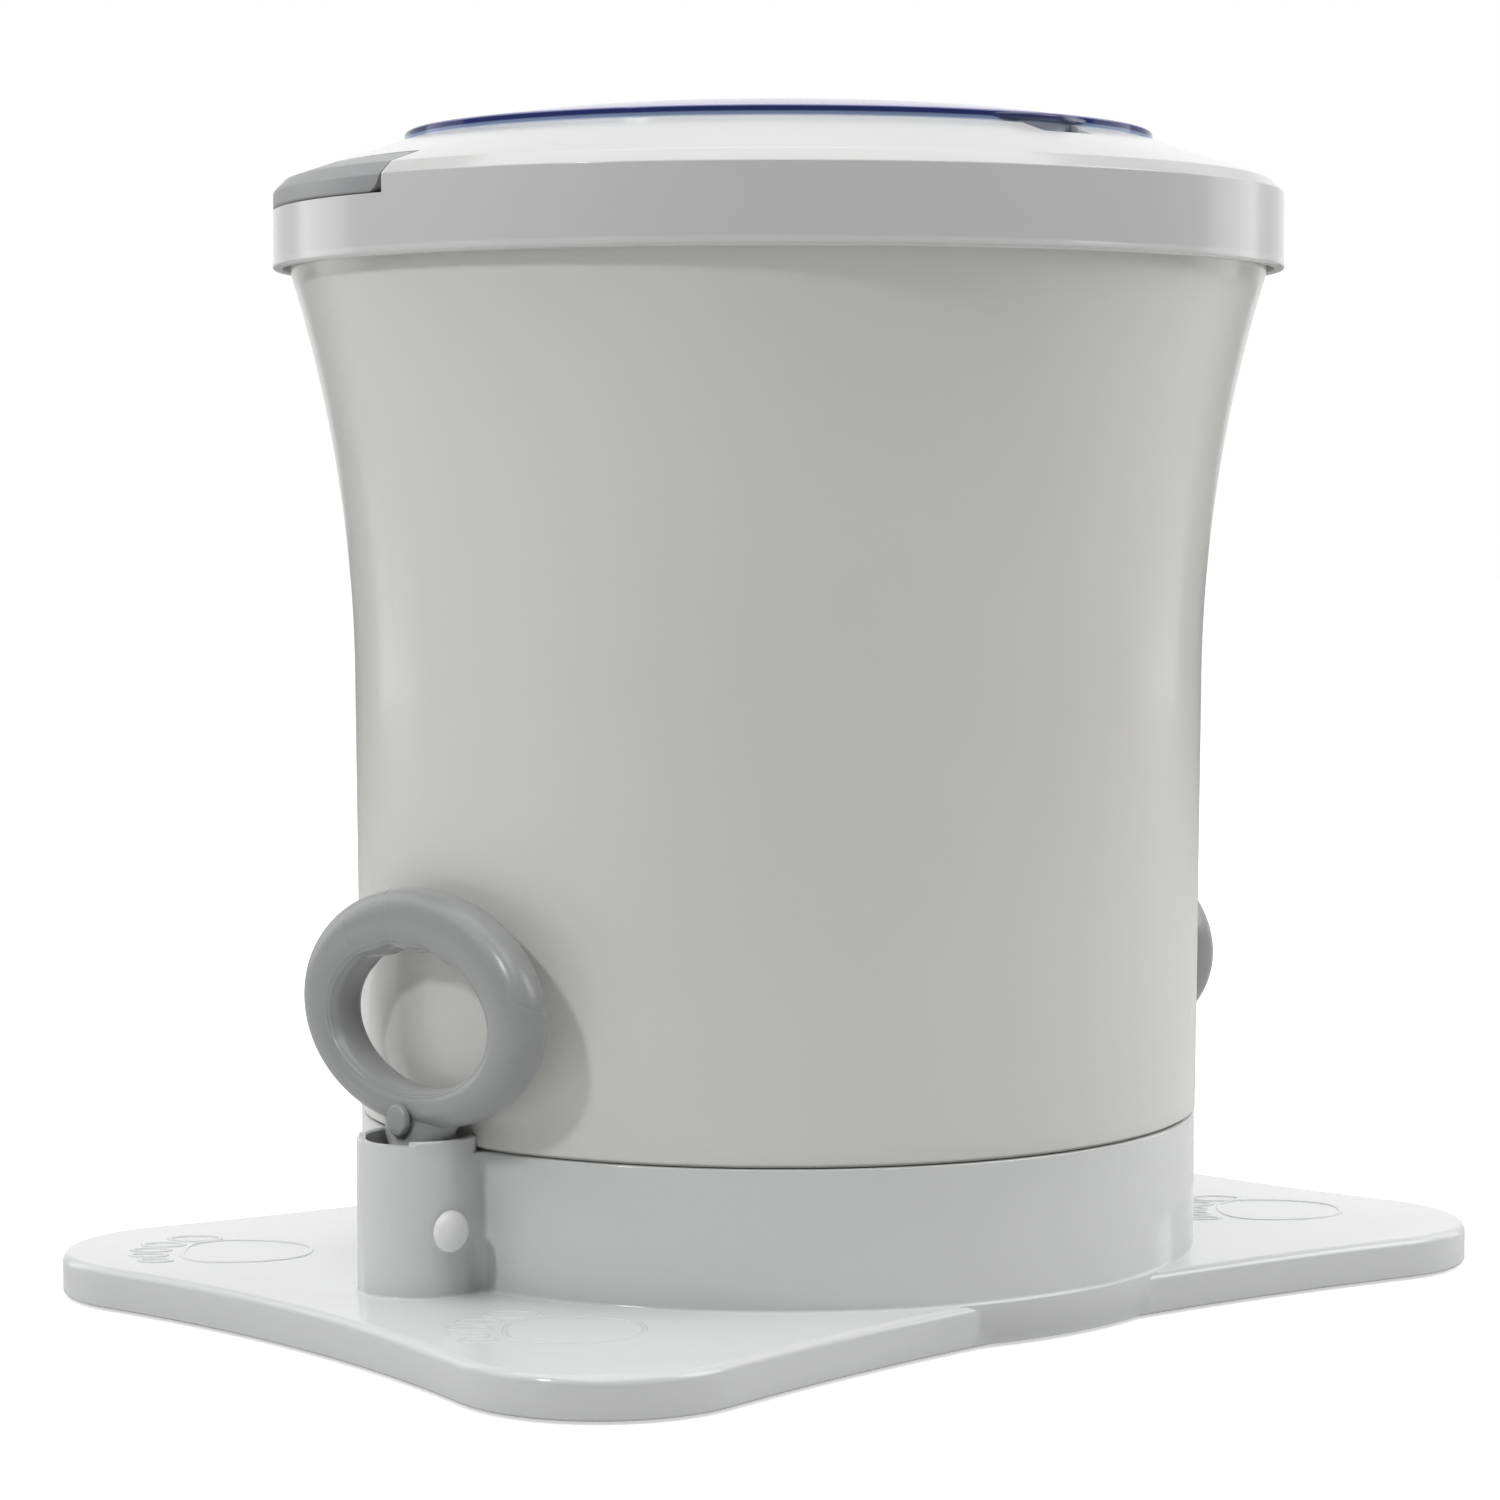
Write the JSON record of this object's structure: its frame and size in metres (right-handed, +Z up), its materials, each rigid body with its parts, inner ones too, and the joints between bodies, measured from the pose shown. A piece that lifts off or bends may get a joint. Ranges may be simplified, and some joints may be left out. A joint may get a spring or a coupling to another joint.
{
  "type": "hand-pulled spin dryer",
  "caption": "Hand-pulled spin dryer: a flared tub with an inner basket on a footed tread plate, finger rings on recoil cords, a carrying bail and a tinted window lid.",
  "frame": {"origin": "on the floor under the middle of the tub, at the rubber feet's undersides", "axes": "+Z up; X through the two pull rings; -Y is the front, where the window's finger tab is"},
  "size_m": [0.417, 0.3336, 0.3882],
  "materials": {
    "light_shell": "semi-gloss moulded light grey plastic",
    "basket_plastic": "semi-gloss moulded plastic",
    "grey_grip": "semi-gloss mid grey plastic",
    "drive_plastic": "natural acetal",
    "steel": "turned",
    "rubber": "matte",
    "window_tint": "clear blue tinted plastic",
    "cord": "braided"
  },
  "bodies": {
    "base": {"base_housing": "light_shell", "bottom_cover": "light_shell", "rubber_foot_1": "rubber", "rubber_foot_2": "rubber", "rubber_foot_3": "rubber", "rubber_foot_4": "rubber", "clamp_screw_1": "steel", "clamp_screw_2": "steel", "clamp_screw_3": "steel", "clamp_screw_4": "steel", "gear_deck": "drive_plastic", "shaft_bearing_lower": "steel", "shaft_bearing_upper": "steel", "shaft_seal": "rubber", "spool_axle_left": "steel", "spool_axle_right": "steel", "spring_cup_left": "drive_plastic", "spring_cup_right": "drive_plastic", "recoil_spring_left": "steel", "recoil_spring_right": "steel", "pulley_axle_left": "light_shell", "pulley_axle_right": "light_shell", "cord_guide_left": "grey_grip", "cord_guide_right": "grey_grip", "pull_cord_left": "cord", "pull_cord_right": "cord", "outer_tub": "light_shell", "drain_spout": "light_shell"},
    "rotor": {"drive_pinion": "drive_plastic", "drive_shaft": "steel", "basket_hub": "drive_plastic", "spin_basket": "basket_plastic", "basket_nut": "grey_grip"},
    "spool_left": {"cord_spool_left": "grey_grip", "cord_winding_left": "cord"},
    "spool_right": {"cord_spool_right": "grey_grip", "cord_winding_right": "cord"},
    "gear_left": {"spool_gear_left": "drive_plastic", "one_way_clutch_left": "steel"},
    "gear_right": {"spool_gear_right": "drive_plastic", "one_way_clutch_right": "steel"},
    "pulley_left": {"guide_pulley_left": "drive_plastic"},
    "pulley_right": {"guide_pulley_right": "drive_plastic"},
    "handle_left": {"pull_ring_left": "grey_grip", "cord_anchor_left": "grey_grip"},
    "handle_right": {"pull_ring_right": "grey_grip", "cord_anchor_right": "grey_grip"},
    "rim": {"rim_ring": "light_shell", "hinge_pin": "steel", "brim_seal": "rubber", "window_seal": "rubber", "bail_pin_left": "steel", "bail_pin_right": "steel"},
    "bail": {"carry_bail": "grey_grip"},
    "window": {"window_lid": "window_tint"},
    "plug": {"drain_plug": "grey_grip"}
  },
  "joints": [
    {"name": "handle_left_pull", "type": "slide", "parent": "base", "child": "handle_left", "axis": [-0.1736, 0, 0.9848], "range_m": [0, 0.45], "stiffness_N_per_m": 15},
    {"name": "pulley_left_spin", "type": "hinge", "parent": "base", "child": "pulley_left", "pos_m": [-0.1535, 0, 0.035], "axis": [0, 1, 0], "range_deg": [0, 3970]},
    {"name": "spool_left_spin", "type": "hinge", "parent": "base", "child": "spool_left", "pos_m": [-0.06925, 0.0288, 0.0285], "axis": [0, 0, -1], "range_deg": [0, 906]},
    {"name": "handle_right_pull", "type": "slide", "parent": "base", "child": "handle_right", "axis": [0.1736, 0, 0.9848], "range_m": [0, 0.45], "stiffness_N_per_m": 15},
    {"name": "pulley_right_spin", "type": "hinge", "parent": "base", "child": "pulley_right", "pos_m": [0.1535, 0, 0.035], "axis": [0, -1, 0], "range_deg": [0, 3970]},
    {"name": "spool_right_spin", "type": "hinge", "parent": "base", "child": "spool_right", "pos_m": [0.06925, -0.0288, 0.0285], "axis": [0, 0, -1], "range_deg": [0, 906]},
    {"name": "basket_spin", "type": "hinge", "parent": "base", "child": "rotor", "pos_m": [0, 0, 0.0285], "axis": [0, 0, 1], "continuous": true},
    {"name": "gear_left_spin", "type": "hinge", "parent": "base", "child": "gear_left", "pos_m": [-0.06925, 0.0288, 0.0285], "axis": [0, 0, 1], "continuous": true},
    {"name": "gear_right_spin", "type": "hinge", "parent": "base", "child": "gear_right", "pos_m": [0.06925, -0.0288, 0.0285], "axis": [0, 0, 1], "continuous": true},
    {"name": "rim_lift", "type": "slide", "parent": "base", "child": "rim", "axis": [0, 0, 1], "range_m": [0, 0.05]},
    {"name": "bail_swing", "type": "hinge", "parent": "rim", "child": "bail", "pos_m": [0, 0.0036, 0.3646], "axis": [1, 0, 0], "range_deg": [0, 90]},
    {"name": "window_open", "type": "hinge", "parent": "rim", "child": "window", "pos_m": [0, 0.1285, 0.3818], "axis": [-1, 0, 0], "range_deg": [0, 100]},
    {"name": "drain_plug_pull", "type": "slide", "parent": "base", "child": "plug", "axis": [0, 1, 0], "range_m": [0, 0.02]}
  ],
  "couplings": [
    {"joint": "pulley_left_spin", "follows": "handle_left_pull", "rad_per_m": 153.85},
    {"joint": "spool_left_spin", "follows": "handle_left_pull", "rad_per_m": 35.088},
    {"joint": "pulley_right_spin", "follows": "handle_right_pull", "rad_per_m": 153.85},
    {"joint": "spool_right_spin", "follows": "handle_right_pull", "rad_per_m": 35.088},
    {"joint": "gear_left_spin", "follows": "basket_spin", "ratio": -0.33333},
    {"joint": "gear_right_spin", "follows": "basket_spin", "ratio": -0.33333}
  ]
}
